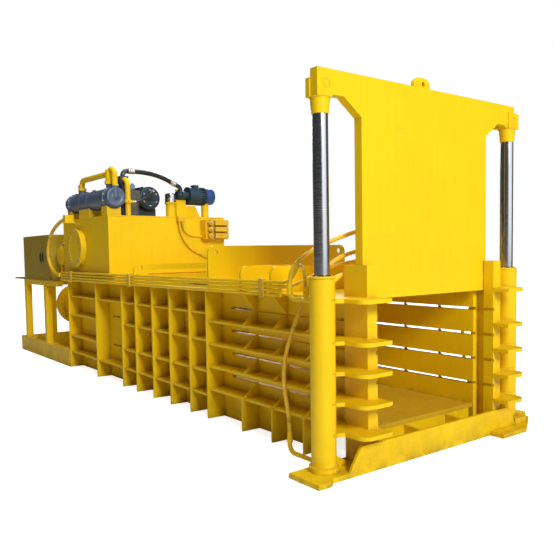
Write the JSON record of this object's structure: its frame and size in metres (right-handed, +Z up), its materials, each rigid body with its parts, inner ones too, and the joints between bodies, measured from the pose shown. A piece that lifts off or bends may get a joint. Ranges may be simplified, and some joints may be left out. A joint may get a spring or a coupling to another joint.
{
  "type": "recycling baler",
  "caption": "Horizontal recycling baler with a lifting discharge gate, charge box, main ram, hydraulic power unit and control cabinet.",
  "frame": {"origin": "on the floor, under the middle of the gate", "axes": "+X towards the discharge end, +Y to the far side, +Z up"},
  "size_m": [6.938, 2.152, 2.361],
  "materials": {
    "yellow_paint": "satin",
    "bare_steel": "satin",
    "worn_steel": "rough",
    "tool_steel": "ground",
    "chrome_rod": "polished",
    "wear_plastic": "matte",
    "dark_paint": "satin",
    "cooler_paint": "satin",
    "motor_paint": "satin",
    "pump_paint": "rough",
    "valve_paint": "satin",
    "black_plastic": "matte",
    "hose_rubber": "matte",
    "yellow_hose": "matte"
  },
  "bodies": {
    "frame": {"breather": "chrome_rod", "breather_neck": "yellow_paint", "cabinet": "yellow_paint", "cabinet_stand": "yellow_paint", "cooler": "cooler_paint", "cooler_pipes": "yellow_paint", "cover_bolts": "bare_steel", "fixed_blade": "tool_steel", "floor_plate": "worn_steel", "foot_plates": "yellow_paint", "front_plates": "yellow_paint", "front_sill": "yellow_paint", "guide_posts": "yellow_paint", "hose_block_front": "hose_rubber", "hose_block_rear": "hose_rubber", "hose_drain": "hose_rubber", "hose_feed_lower": "yellow_hose", "hose_feed_upper": "yellow_hose", "hose_lift_lower": "yellow_hose", "hose_lift_upper": "yellow_hose", "hose_rear_main": "yellow_hose", "hose_rear_pilot": "yellow_hose", "hose_suction": "hose_rubber", "hydraulic_pump": "pump_paint", "inspection_cover": "yellow_paint", "lift_barrels": "yellow_paint", "lift_glands": "bare_steel", "main_barrel": "dark_paint", "main_gland": "bare_steel", "main_motor": "motor_paint", "motor_brackets": "yellow_paint", "oil_filter": "dark_paint", "oil_tank": "yellow_paint", "pipe_clamps": "black_plastic", "prefill_valve": "pump_paint", "rear_bulkhead": "yellow_paint", "rear_frame": "yellow_paint", "rear_wall": "yellow_paint", "return_pipe": "yellow_paint", "roof_frames": "yellow_paint", "roof_plates": "yellow_paint", "second_motor": "motor_paint", "side_pipes": "yellow_paint", "side_wall_far": "yellow_paint", "side_wall_near": "yellow_paint", "tank_lid": "yellow_paint", "underframe": "yellow_paint", "valve_block": "valve_paint", "wall_liners": "yellow_paint"},
    "gate": {"gate": "yellow_paint", "lift_rods": "chrome_rod", "rod_bosses": "yellow_paint"},
    "ram": {"ram_body": "yellow_paint", "platen": "worn_steel", "ram_wear_strips": "wear_plastic", "moving_blade": "tool_steel", "main_rod": "chrome_rod"},
    "door_rear": {"cabinet_door_rear": "yellow_paint"},
    "door_front": {"cabinet_door_front": "yellow_paint"},
    "valve_lever": {"valve_handle": "bare_steel"}
  },
  "joints": [
    {"name": "gate_lift", "type": "slide", "parent": "frame", "child": "gate", "axis": [0, 0, 1], "range_m": [-0.806, 0]},
    {"name": "ram_stroke", "type": "slide", "parent": "frame", "child": "ram", "axis": [1, 0, 0], "range_m": [0, 2.1]},
    {"name": "door_rear_hinge", "type": "hinge", "parent": "frame", "child": "door_rear", "pos_m": [-6.236, -0.745, 1.268], "axis": [0, 0, -1], "range_deg": [0, 105]},
    {"name": "door_front_hinge", "type": "hinge", "parent": "frame", "child": "door_front", "pos_m": [-5.19, -0.745, 1.268], "axis": [0, 0, 1], "range_deg": [0, 105]},
    {"name": "valve_turn", "type": "hinge", "parent": "frame", "child": "valve_lever", "pos_m": [-4.378, -0.608, 2.065], "axis": [1, 0, 0], "range_deg": [0, 90]}
  ]
}
